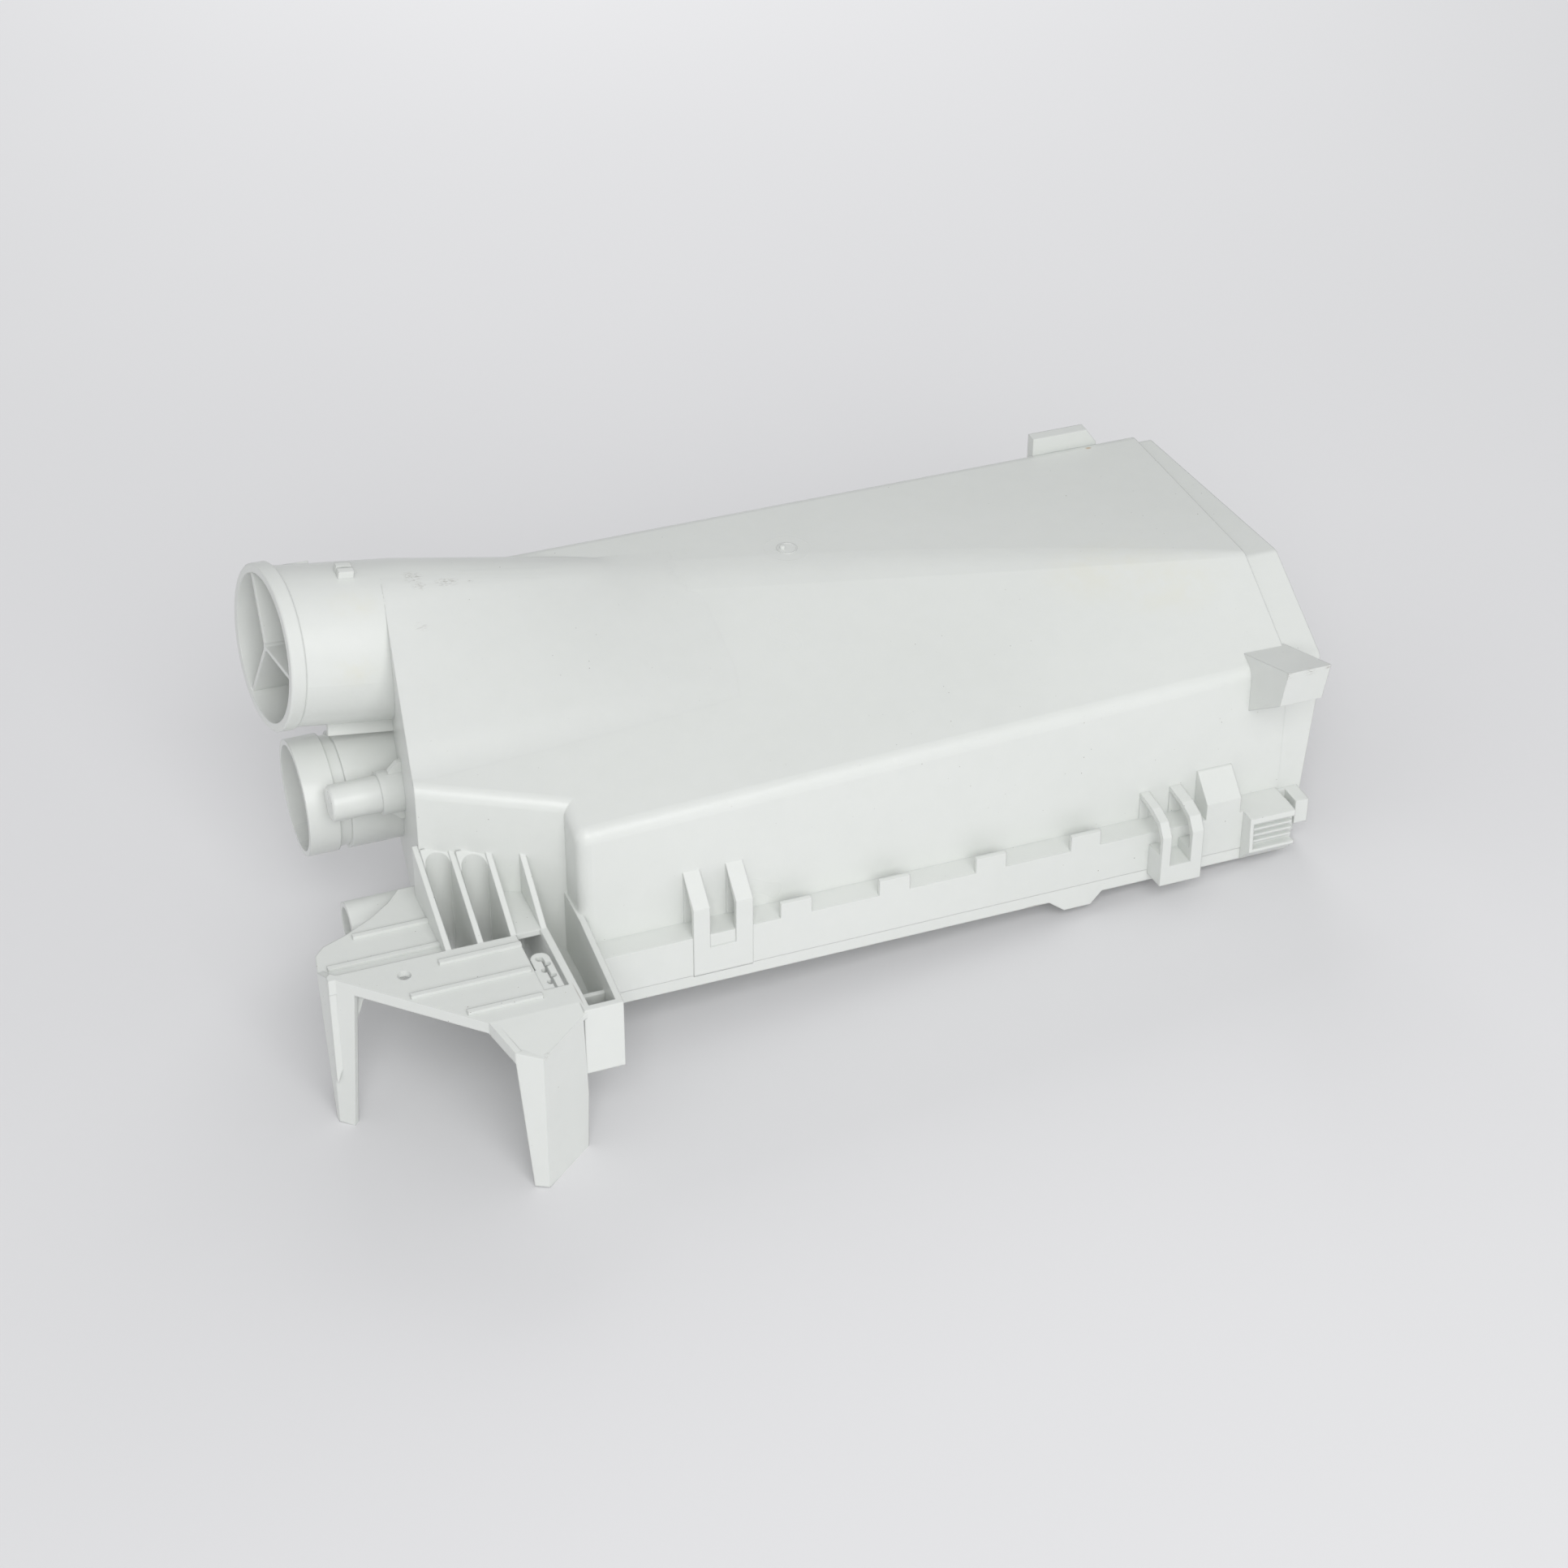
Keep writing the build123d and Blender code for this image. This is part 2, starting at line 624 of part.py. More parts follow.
def rib_cove(left, right):
    """Rounded corners between two ribs and the recess wall, as one filling with a round hollow."""
    middle, radius = (left + right) / 2, (right - left) / 2 - cove_least
    fill = rib_plate(left - eps, rib_side(middle), right - left + 2 * eps)
    centre_y = recess_y(middle) - (radius + cove_least) * (1 + recess_slope ** 2) ** 0.5
    hollow = Pos(middle, centre_y, 0) * Cylinder(radius, reach)
    hollow += block((left, right), (-reach, centre_y), (-reach, reach))
    return fill - hollow


def pocket():
    """Open-topped pocket between partition and right wall."""
    back = recess_y(pocket_left_x) + 1
    left = pocket_left_x - wall / 2
    height = plate_z - pocket_floor_z
    outline = ((left, pocket_front_y), (pocket_front_x, pocket_front_y), (pocket_right_x, ridge_line_y),
               (pocket_right_x, back), (left, back))
    body = plan(outline, height, pocket_floor_z)
    hollow = plan(outline, height, pocket_floor_z + wall, wall)
    open_back = block((left + wall, pocket_right_x - wall), (ridge_line_y, back + 5), (pocket_floor_z + wall, plate_z + 1))
    divider = block((pocket_left_x, pocket_right_x - 2), (divider_y, divider_y + divider_thick),
                    (pocket_floor_z, plate_z - divider_drop))
    return body - hollow - open_back + divider


def wire_hook():
    """Flat hook in the window, with a toothed slot that grips the wires."""
    x_left, x_right = hook_x
    middle, radius = (x_left + x_right) / 2, (x_right - x_left) / 2
    head_y = hook_tip_y - radius
    low, high = plate_z - plate_thick, plate_z - 0.4
    upright = (Align.CENTER, Align.CENTER, Align.MIN)
    hook = block(hook_x, (window_front_y - eps, head_y), (low, high))
    hook += Pos(middle, head_y, low) * Cylinder(radius, high - low, align=upright)
    hook += block((window_left_x - eps, middle - tooth_radius), (window_front_y - eps, hook_root_y), (low, high))
    slot_x = middle + 0.5
    hook -= block((slot_x - 0.5, slot_x + 0.5), (window_front_y - 1, head_y), (low - 1, high + 1))
    for index in range(tooth_count):
        side = 0.9 if index % 2 else -0.9
        hook -= Pos(slot_x + side, head_y - index * tooth_pitch, low - 1) * Cylinder(tooth_radius, 5, align=upright)
    return hook


def bracket():
    """Corner bracket with legs, ribs and pocket, before its openings are cut."""
    form = plate() + left_leg() + right_leg() + field_edge() + plate_ribs() + wall_ribs()
    window = block((window_left_x, window_right_x), (window_front_y, ridge_line_y), (plate_z - 20, plate_z + 5))
    hole = Pos(hole_place[0], hole_place[1], plate_z) * Cylinder(hole_radius, 30)
    return form - window - hole + wire_hook() + pocket()


# ---------------------------------------------------------------- whole pieces

def housing():
    """The moulding: bay, mouth rim, tubes, flange and bracket, hollowed as one."""
    outer = soften(bay_form(0), edge_radius)
    skin = outer + mouth_form(0) + near_cheek() + flange_form(0) + outlet_form(0) + outlet_trim()
    skin += inlet_form() + spigot_form() + far_block() + corner_block() + wedge()
    skin += along_x(stub_y, stub_z, stub_radius, stub_mouth_x, end_wall_x(stub_y) + 1)
    room = soften(bay_form(wall), edge_radius - wall) & block((-reach, body_right - wall), (-reach, reach), (-reach, reach))
    room += mouth_form(wall) + flange_form(wall)
    skin -= room
    skin -= outlet_form(outlet_wall)
    skin -= along_x(inlet_y, inlet_z, inlet_radius - inlet_wall, inlet_mouth_x - 1, end_wall_x(inlet_y) + 12)
    skin -= along_x(stub_y, stub_z, stub_radius - stub_wall, stub_mouth_x - 1, end_wall_x(stub_y) + 12)
    skin += spokes()
    skin -= block((-reach, reach), (-reach, reach), (-reach, cover_height))
    skin += tabs() + box_catch()
    skin += clip(**left_clip) + clip(**right_clip)
    return skin + bracket()


def cover():
    """Thin cover plate with an upstanding rim, seated under the moulding."""
    slab = block((-reach, reach), (-reach, reach), (0, cover_height))
    sill = block((body_right - wall, mouth_foot_x), (near_wall_y, far_wall_y - rim_step), (0, wall))
    skin = (bay_form(0) + flange_form(0) + near_cheek()) & slab
    skin += sill
    room = (bay_form(wall) + flange_form(wall)) & Pos(0, 0, wall) * slab
    left, low_left, low_right, right = (tongue_x + step for step in tongue_steps)
    outline = Polyline((left, wall), (left, 0), (low_left, -tongue_height), (low_right, -tongue_height),
                       (right, 0), (right, wall), close=True)
    return skin - room + extrude(Plane.XZ * make_face(outline), -tongue_thick)


moulding = housing()
box = moulding.bounding_box()
seat = Pos(-box.center().X, -box.center().Y, -box.min.Z)
os.makedirs("parts", exist_ok=True)
export_step(seat * moulding, "parts/housing.step")
export_step(seat * cover(), "parts/cover_plate.step")
print("moved by", seat.position)
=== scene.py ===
# %% [markdown]
# # A dispenser drawer housing in Blender
#
# The object is the drawer housing of a washing machine's detergent dispenser. It is one thin
# moulding of white plastic, closed by a thin cover plate, and it lies upside down on the floor.
# The shapes with real sizes come from the CAD frame. This lesson gives them their finish, adds
# the small marks that moulding and use have left, and then sets up the floor, the light and
# the camera.

# %% Load the frame
import bpy
import math
from mathutils import Matrix, Vector


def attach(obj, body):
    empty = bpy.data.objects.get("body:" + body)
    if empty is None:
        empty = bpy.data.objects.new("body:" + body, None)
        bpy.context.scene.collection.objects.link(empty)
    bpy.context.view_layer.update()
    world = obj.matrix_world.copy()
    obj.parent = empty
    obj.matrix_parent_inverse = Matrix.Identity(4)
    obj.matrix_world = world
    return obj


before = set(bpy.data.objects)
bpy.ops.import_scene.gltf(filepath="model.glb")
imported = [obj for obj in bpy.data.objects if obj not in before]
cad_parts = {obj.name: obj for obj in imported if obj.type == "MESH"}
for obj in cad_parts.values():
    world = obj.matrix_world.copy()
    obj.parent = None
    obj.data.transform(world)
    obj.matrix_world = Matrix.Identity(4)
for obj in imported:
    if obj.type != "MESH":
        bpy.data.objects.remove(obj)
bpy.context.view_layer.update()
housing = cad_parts["housing"]
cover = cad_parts["cover_plate"]

# %% [markdown]
# ## One place to measure from
#
# The housing was drawn from the lower edge of its flange: X along the flange, Y into the
# housing, Z up. The finished pieces were then moved so that the origin is under the middle of
# the box round them. Sizes are easier to think of from the flange, so one helper turns flange
# millimetres into metres in the frame.

# %% Flange millimetres to frame metres
FLANGE_CORNER = Vector((-0.0854452, -0.0547468, 0.032))


def at(x, y, z):
    """A point given in millimetres from the flange's lower edge, in metres in the frame."""
    return Vector((x, y, z)) * 0.001 + FLANGE_CORNER


print("flange's lower edge sits at", tuple(FLANGE_CORNER))

# %% [markdown]
# ## White moulded plastic
#
# The real surface is a satin white polypropylene with a faint green cast. It isn't one flat
# colour: the melt leaves clouds that differ by a few percent, the mould leaves a fine grain,
# and years in a machine leave dark specks and thin rubbed streaks. The corners and recesses
# are darkened with a greenish painted shade. A picture wrapped round the part would be quick,
# but it would show seams and stretch on the skirts of the bracket. Noise that is read in the
# object's own coordinates runs straight through every corner, so each of those layers is a node
# here.
#
# The edges of a moulding are never sharp. Rounding them all in the mesh would cost thousands of
# faces, so a Bevel node bends the light over the last 0.7 mm instead.

# %% Small helpers for node trees
def add_node(tree, kind, **settings):
    """Adds a node and sets its sockets by name, or a property where no socket has that name."""
    node = tree.nodes.new(kind)
    for key, value in settings.items():
        label = key.replace("_", " ").title()
        if label in node.inputs:
            node.inputs[label].default_value = value
        else:
            setattr(node, key, value)
    return node


def ramp(tree, source, low, high, start=0.0, end=1.0):
    """Turns the range from low to high of a grey socket into start to end, held at both ends."""
    node = tree.nodes.new("ShaderNodeMapRange")
    node.inputs["From Min"].default_value = low
    node.inputs["From Max"].default_value = high
    node.inputs["To Min"].default_value = start
    node.inputs["To Max"].default_value = end
    tree.links.new(source, node.inputs["Value"])
    return node.outputs["Result"]


def math_of(tree, operation, first, second):
    """A Math node on two sockets, or on a socket and a number."""
    node = tree.nodes.new("ShaderNodeMath")
    node.operation = operation
    node.use_clamp = True
    for socket, value in zip(node.inputs, (first, second)):
        if isinstance(value, (int, float)):
            socket.default_value = value
        else:
            tree.links.new(value, socket)
    return node.outputs[0]


def tint_over(tree, base, colour, share):
    """Lays a colour over a base, a socket or a colour, as strongly as the share socket says."""
    node = tree.nodes.new("ShaderNodeMix")
    node.data_type = "RGBA"
    tree.links.new(share, node.inputs["Factor"])
    if isinstance(base, tuple):
        node.inputs["A"].default_value = (*base, 1.0)
    else:
        tree.links.new(base, node.inputs["A"])
    node.inputs["B"].default_value = (*colour, 1.0)
    return node.outputs["Result"]


print("node helpers ready")

# %% [markdown]
# A mark that belongs to one place, such as a scuff, needs a mask there. The helper below makes
# a soft ball-shaped mask: it measures how far the shaded point is from a centre and fades out
# over a radius. Stretching the space first turns the ball into a long smear.

# %% Local masks
CORE_SHARE = 0.3    # share of a patch's radius over which it is full


def patch_distance(tree, coordinates, centre, stretch=(1.0, 1.0, 1.0)):
    """Distance of the shaded point from a centre, in metres, in a stretched space."""
    offset = tree.nodes.new("ShaderNodeVectorMath")
    offset.operation = "SUBTRACT"
    tree.links.new(coordinates, offset.inputs[0])
    offset.inputs[1].default_value = centre
    scaled = tree.nodes.new("ShaderNodeVectorMath")
    scaled.operation = "MULTIPLY"
    tree.links.new(offset.outputs[0], scaled.inputs[0])
    scaled.inputs[1].default_value = stretch
    length = tree.nodes.new("ShaderNodeVectorMath")
    length.operation = "LENGTH"
    tree.links.new(scaled.outputs[0], length.inputs[0])
    return length.outputs["Value"]


def patch(tree, coordinates, centre, radius, stretch=(1.0, 1.0, 1.0)):
    """Mask that is 1 at the centre and fades to 0 at the radius, in metres."""
    away = patch_distance(tree, coordinates, centre, stretch)
    return ramp(tree, away, radius, radius * CORE_SHARE)


def patches(tree, coordinates, places):
    """One mask for a list of places, each a centre, a radius and a stretch."""
    together = None
    for centre, radius, stretch in places:
        mask = patch(tree, coordinates, centre, radius, stretch)
        together = mask if together is None else math_of(tree, "MAXIMUM", together, mask)
    return together


print("mask helpers ready")

# %% [markdown]
# The layers go on one over the other: the clouds of the melt, then the places that have
# yellowed, then a painted shade in the corners, then specks, then scuffs and scratches. Their
# colours and places come first. A place is a centre, a radius in metres, and a stretch for
# each axis, where less than 1 makes the mark longer.

# %% Colours of the plastic and of its marks
PLASTIC_LIGHT = (0.778, 0.795, 0.771)
PLASTIC_DARK = (0.738, 0.757, 0.732)
# painted shade: the greenish grey laid into corners and recesses where shade falls
CORNER_SHADE = (0.45, 0.50, 0.47)
SPECK = (0.16, 0.13, 0.11)
SCUFF = (0.50, 0.49, 0.46)
YELLOWED = (0.78, 0.77, 0.66)
RUST = (0.52, 0.33, 0.16)
print("white plastic between", PLASTIC_DARK, "and", PLASTIC_LIGHT)

# %% Places that use has marked
SCUFFED_PLACES = (
    (at(-40.2, 127.0, 116.6), 0.0038, (0.8, 1.0, 1.0)),
    (at(-38.8, 122.3, 115.3), 0.0026, (0.8, 1.0, 1.0)),
    (at(-28.0, 123.4, 113.9), 0.0024, (0.4, 1.0, 1.0)),
    (at(-18.9, 123.2, 112.5), 0.0012, (0.8, 1.0, 1.0)),
    (at(-42.8, 107.4, 104.8), 0.0030, (0.8, 1.0, 0.6)),
    (at(251.6, -15, 92), 0.0022, (1.0, 1.0, 1.0)),
    (at(260.5, -15, 91.8), 0.0022, (0.7, 1.0, 1.0)),
    (at(267.6, -14.8, 92.6), 0.0016, (1.0, 1.0, 1.0)),
    (at(-48.5, -54.0, 30.2), 0.0018, (1.0, 1.0, 1.0)),
)
YELLOWED_PLACES = (
    (at(-64.6, 116.9, 116.3), 0.0080, (0.7, 1.0, 1.0)),
    (at(-69.7, 103.1, 96.5), 0.0080, (0.7, 1.0, 1.0)),
    (at(213.5, 64.2, 101.6), 0.0180, (0.6, 1.0, 1.0)),
    (at(234.4, 50.5, 97.7), 0.0160, (0.6, 1.0, 1.0)),
)
SCRATCHED_PLACES = (
    (at(-29.7, -30.2, 34.4), 0.00035, (1.0, 0.045, 0.3)),
    (at(160.5, 0.0, 0.3), 0.00035, (0.06, 1.0, 1.0)),
)
RUST_PLACES = ((at(245.9, 146.9, 104.0), 0.0011, (0.7, 1.0, 1.0)),)

print(len(SCUFFED_PLACES), "scuffs,", len(YELLOWED_PLACES), "yellowed places,",
      len(SCRATCHED_PLACES), "scratches and", len(RUST_PLACES), "rust spot")

# %% [markdown]
# Three noises carry the finish: clouds as wide as a hand, a mottle as wide as a fingertip, and
# the grain of the mould, finer than a millimetre. The clean plastic is a mix of two whites, in
# which the clouds count for more than the mottle.

# %% Noises and clean plastic
CLOUD_SCALE, MOTTLE_SCALE, GRAIN_SCALE = 9.0, 120.0, 1500.0
CLOUD_SHARE, MOTTLE_SHARE = 0.7, 0.3


def noises(tree, place):
    """The clouds, the mottle and the grain as grey sockets."""
    clouds = add_node(tree, "ShaderNodeTexNoise", scale=CLOUD_SCALE, detail=4.0, roughness=0.55)
    mottle = add_node(tree, "ShaderNodeTexNoise", scale=MOTTLE_SCALE, detail=3.0, roughness=0.6)
    grain = add_node(tree, "ShaderNodeTexNoise", scale=GRAIN_SCALE, detail=2.0, roughness=0.5)
    for node in (clouds, mottle, grain):
        tree.links.new(place, node.inputs["Vector"])
    return [node.outputs["Fac"] for node in (clouds, mottle, grain)]


def clean_colour(tree, clouds, mottle):
    """The two whites of the melt, mixed by clouds and mottle."""
    mixed = math_of(tree, "ADD", ramp(tree, clouds, 0.35, 0.68, 0.0, CLOUD_SHARE),
                    ramp(tree, mottle, 0.35, 0.75, 0.0, MOTTLE_SHARE))
    return tint_over(tree, PLASTIC_LIGHT, PLASTIC_DARK, mixed)


print("clouds repeat about every", round(1000 / CLOUD_SCALE), "mm, mottle every",
      round(1000 / MOTTLE_SCALE), "mm")

# %% [markdown]
# Yellowed places and the rust spot are patches. The corners get a painted shade: where an
# Ambient Occlusion node finds the surface shut in, the colour is darkened towards a greenish
# grey, so ribs and corners pick it up wherever they are. The mottle breaks it up unevenly.

# %% Yellowing, rust and painted corner shade
YELLOW_FAINT, YELLOW_STRONG = 0.05, 0.35
RUST_SHARE = 0.7
SHADE_REACH = 0.004
SHADE_SHARE = 0.2


def aged_colour(tree, colour, place, mottle):
    """Lays the yellowed places and the rust spot over the clean colour."""
    aged = math_of(tree, "MULTIPLY", patches(tree, place, YELLOWED_PLACES),
                   ramp(tree, mottle, 0.35, 0.62, YELLOW_FAINT, YELLOW_STRONG))
    colour = tint_over(tree, colour, YELLOWED, aged)
    rusty = math_of(tree, "MULTIPLY", patches(tree, place, RUST_PLACES), RUST_SHARE)
    return tint_over(tree, colour, RUST, rusty)


def corner_shade_mask(tree, mottle):
    """Grey socket for the painted shade: how shut in the shaded point is, broken up by the
    mottle.
    """
    corner = add_node(tree, "ShaderNodeAmbientOcclusion", samples=8, distance=SHADE_REACH)
    shut_in = ramp(tree, corner.outputs["AO"], 0.72, 0.32, 0.0, SHADE_SHARE)
    return math_of(tree, "MULTIPLY", shut_in, ramp(tree, mottle, 0.38, 0.66, 0.35, 1.0))


print("grime reaches", 1000 * SHADE_REACH, "mm out of a corner")

# %% [markdown]
# Specks are the middles of Voronoi cells. Each cell has a random colour: its red channel picks
# about half of the cells, its green channel says how dark a speck is, and the clouds thin
# them out in some areas, as dust does.

# %% Specks
SPECK_CELLS = 260.0         # cells in a metre
SPECK_EDGE, SPECK_CORE = 0.065, 0.035   # radii, in widths of a cell
SPECK_FAINT, SPECK_STRONG = 0.15, 0.85


def speck_mask(tree, place, clouds):
    """Grey socket that is above 0 in the specks alone."""
    cells = add_node(tree, "ShaderNodeTexVoronoi", scale=SPECK_CELLS, randomness=1.0)
    tree.links.new(place, cells.inputs["Vector"])
    picked = tree.nodes.new("ShaderNodeSeparateColor")
    tree.links.new(cells.outputs["Color"], picked.inputs["Color"])
    dot = math_of(tree, "MULTIPLY", ramp(tree, cells.outputs["Distance"], SPECK_EDGE, SPECK_CORE),
                  ramp(tree, picked.outputs["Red"], 0.50, 0.54))
    dot = math_of(tree, "MULTIPLY", dot, ramp(tree, clouds, 0.40, 0.58))
    darkness = ramp(tree, picked.outputs["Green"], 0.0, 1.0, SPECK_FAINT, SPECK_STRONG)
    return math_of(tree, "MULTIPLY", dot, darkness)


print("a speck is up to", round(2000 * SPECK_EDGE / SPECK_CELLS, 2), "mm wide")

# %% [markdown]
# A scuff is a bundle of short thin streaks. A noise whose space is stretched five times more
# across than along gives such streaks, and the patches say where they are. A scratch is a
# patch so narrow that it needs no streaks.

# %% Scuffs and scratches
STREAK_SCALE = (420.0, 2200.0, 2200.0)
STREAK_TURN = 0.35
SCUFF_SHARE = 0.95
SCRATCH_SHARE = 0.8


def scuff_mask(tree, place):
    """Grey socket with the streaks of the scuffed places."""
    streaks = add_node(tree, "ShaderNodeTexNoise", scale=1.0, detail=5.0, roughness=0.7)
    stretched = add_node(tree, "ShaderNodeMapping", scale=STREAK_SCALE,
                         rotation=(0.0, 0.0, STREAK_TURN))
    tree.links.new(place, stretched.inputs["Vector"])
    tree.links.new(stretched.outputs["Vector"], streaks.inputs["Vector"])
    return math_of(tree, "MULTIPLY", patches(tree, place, SCUFFED_PLACES),
                   ramp(tree, streaks.outputs["Fac"], 0.51, 0.60, 0.0, SCUFF_SHARE))


def scratch_mask(tree, place):
    """Grey socket with the thin scratches."""
    return math_of(tree, "MULTIPLY", patches(tree, place, SCRATCHED_PLACES), SCRATCH_SHARE)


print("streaks run", round(math.degrees(STREAK_TURN)), "degrees off the flange")

# %% [markdown]
# Gloss follows the same layers: clean plastic is satin, the corners under the painted shade
# are duller, and a rubbed streak shines a little more. The clouds move the roughness over their
# whole range, because a ramp that stops inside that range draws a visible outline on a smooth
# panel.
#
# The relief is a chain of normals: the rounded edges, the grain, the slow waves of a thin wall
# that has shrunk, and the faint ring that the gate's bushing leaves round the gate mark.

# %% Gloss and relief
GLOSSY, SATIN = 0.21, 0.42
CORNERS_DULL = 0.4
RUBBING_POLISHES = 0.06
EDGE_RADIUS = 0.0007
GRAIN_DEPTH, WAVE_DEPTH, RING_DEPTH = 0.0002, 0.0012, 0.0001
GATE_PLACE = (104.5, 116.7, 104.0)      # flange millimetres
RING_INNER, RING_MIDDLE, RING_OUTER = 0.0085, 0.0088, 0.0091


def roughness_of(tree, clouds, corner_shade, scuffs):
    """Roughness socket: satin, duller in the shaded corners, smoother where it is rubbed."""
    rough = ramp(tree, clouds, 0.0, 1.0, GLOSSY, SATIN)
    rough = math_of(tree, "ADD", rough, math_of(tree, "MULTIPLY", corner_shade, CORNERS_DULL))
    return math_of(tree, "SUBTRACT", rough, math_of(tree, "MULTIPLY", scuffs, RUBBING_POLISHES))


def ring_mask(tree, place):
    """Thin ring round the gate, the same at every height."""
    away = patch_distance(tree, place, at(*GATE_PLACE), (1.0, 1.0, 0.0))
    return math_of(tree, "MULTIPLY", ramp(tree, away, RING_INNER, RING_MIDDLE),
                   ramp(tree, away, RING_OUTER, RING_MIDDLE))


def relief_of(tree, place, clouds, grain):
    """Normal socket: rounded edges, then grain, waves and the ring on top of them."""
    normal = add_node(tree, "ShaderNodeBevel", samples=6, radius=EDGE_RADIUS).outputs["Normal"]
    layers = ((grain, 0.10, GRAIN_DEPTH), (clouds, 0.22, WAVE_DEPTH),
              (ring_mask(tree, place), 0.5, RING_DEPTH))
    for height, strength, depth in layers:
        bump = add_node(tree, "ShaderNodeBump", strength=strength, distance=depth)
        tree.links.new(height, bump.inputs["Height"])
        tree.links.new(normal, bump.inputs["Normal"])
        normal = bump.outputs["Normal"]
    return normal


print("edges look rounded over", 1000 * EDGE_RADIUS, "mm")

# %% [markdown]
# Now the layers go onto one Principled shader. White plastic lets a little light in, which
# softens its shade, so the shader also has some subsurface scattering, a millimetre deep.

# %% The finished plastic
SCATTER_SHARE = 0.12
SCATTER_DEPTH = 0.0012


def moulded_plastic(name, drift):
    """Satin white plastic; drift shifts its patterns so that two pieces don't repeat them."""
    material = bpy.data.materials.new(name)
    material.use_nodes = True
    tree = material.node_tree
    shader = tree.nodes["Principled BSDF"]
    place = tree.nodes.new("ShaderNodeTexCoord").outputs["Object"]
    shift = add_node(tree, "ShaderNodeMapping", location=(drift, drift * 0.7, -drift))
    tree.links.new(place, shift.inputs["Vector"])
    shifted = shift.outputs["Vector"]

    clouds, mottle, grain = noises(tree, shifted)
    corner_shade = corner_shade_mask(tree, mottle)
    scuffs = scuff_mask(tree, place)
    colour = aged_colour(tree, clean_colour(tree, clouds, mottle), place, mottle)
    # painted shade: corners and recesses darkened towards a greenish grey
    colour = tint_over(tree, colour, CORNER_SHADE, corner_shade)
    colour = tint_over(tree, colour, SPECK, speck_mask(tree, shifted, clouds))
    colour = tint_over(tree, colour, SCUFF, scuffs)
    colour = tint_over(tree, colour, SCUFF, scratch_mask(tree, place))
    tree.links.new(colour, shader.inputs["Base Color"])
    tree.links.new(roughness_of(tree, clouds, corner_shade, scuffs), shader.inputs["Roughness"])
    tree.links.new(relief_of(tree, place, clouds, grain), shader.inputs["Normal"])

    shader.inputs["IOR"].default_value = 1.49
    shader.inputs["Specular IOR Level"].default_value = 0.42
    shader.inputs["Subsurface Weight"].default_value = SCATTER_SHARE
    shader.inputs["Subsurface Radius"].default_value = (1.0, 1.0, 0.9)
    shader.inputs["Subsurface Scale"].default_value = SCATTER_DEPTH
    print(name, "has", len(tree.nodes), "nodes")
    return material


# %% [markdown]
# The moulding and its cover come from the same plastic, but from two shots of it, so each gets
# its own drift of clouds and specks.

# %% Dress the two CAD pieces
housing_plastic = moulded_plastic("housing_plastic_finish", 0.21)
cover_plastic = moulded_plastic("cover_plastic_finish", 0.58)
for node, material in ((housing, housing_plastic), (cover, cover_plastic)):
    for material_slot in node.material_slots:
        material_slot.material = material
    print(node.name, "dressed with", material.name)

# %% [markdown]
# ## The gate mark
#
# Molten plastic enters the mould at one point. On the real housing that point is a shallow
# round dish, 8 mm wide, on the flat top, with the broken-off stub of the sprue just beside its
# middle. Both are small, so they are modelled here as two little pieces: a disc whose top face
# is inset and pressed down, and a stub with its top edge bevelled.

# %% Modelling helpers
def fresh():
    """Leaves nothing selected before a primitive is added."""
    if bpy.context.mode != "OBJECT":
        bpy.ops.object.mode_set(mode="OBJECT")
    bpy.ops.object.select_all(action="DESELECT")


def clear_mesh(piece):
    """Deselects every point, edge and face of the piece."""
    bpy.ops.object.mode_set(mode="OBJECT")
    for items in (piece.data.vertices, piece.data.edges, piece.data.polygons):
        for item in items:
            item.select = False


def select_top(piece):
    """Selects the faces of the piece that look straight up, in edit mode."""
    clear_mesh(piece)
    for face in piece.data.polygons:
        face.select = face.normal.z > 0.9
    bpy.ops.object.mode_set(mode="EDIT")
    bpy.ops.mesh.select_mode(type="FACE")


def finish_piece(piece, name, material):
    """Applies the piece's place, smooths it by angle, and puts it on the housing."""
    bpy.ops.object.mode_set(mode="OBJECT")
    bpy.ops.object.transform_apply(location=True, rotation=True, scale=True)
    bpy.ops.object.shade_smooth_by_angle(angle=math.radians(35))
    piece.name = name
    piece.data.materials.clear()
    piece.data.materials.append(material)
    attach(piece, "root")
    print(name, "has", len(piece.data.polygons), "faces")


# %% Dish
DISH_RADIUS = 0.0040
DISH_HEIGHT = 0.0016
DISH_PROUD = 0.00030
DISH_RIM = 0.00035
DISH_SLOPE = 0.00025
DISH_DEPTH = 0.00022

fresh()
dish_middle = at(*GATE_PLACE) + Vector((0, 0, DISH_PROUD - DISH_HEIGHT / 2))
bpy.ops.mesh.primitive_cylinder_add(vertices=48, radius=DISH_RADIUS, depth=DISH_HEIGHT,
                                    location=dish_middle)
dish = bpy.context.object
select_top(dish)
bpy.ops.mesh.inset(thickness=DISH_RIM, depth=0)
bpy.ops.mesh.inset(thickness=DISH_SLOPE, depth=-DISH_DEPTH)
finish_piece(dish, "gate_dish", housing_plastic)

# %% Sprue stub
STUB_PLACE = (102.9, 117.2, 104.0)      # flange millimetres
STUB_RADIUS = 0.00105
STUB_HEIGHT = 0.002
STUB_RAISED = 0.0004
STUB_BEVEL = 0.0003

fresh()
bpy.ops.mesh.primitive_cylinder_add(vertices=20, radius=STUB_RADIUS, depth=STUB_HEIGHT,
                                    location=at(*STUB_PLACE) + Vector((0, 0, STUB_RAISED)))
stub = bpy.context.object
select_top(stub)
bpy.ops.mesh.bevel(offset=STUB_BEVEL, segments=2, affect="EDGES")
finish_piece(stub, "gate_stub", housing_plastic)

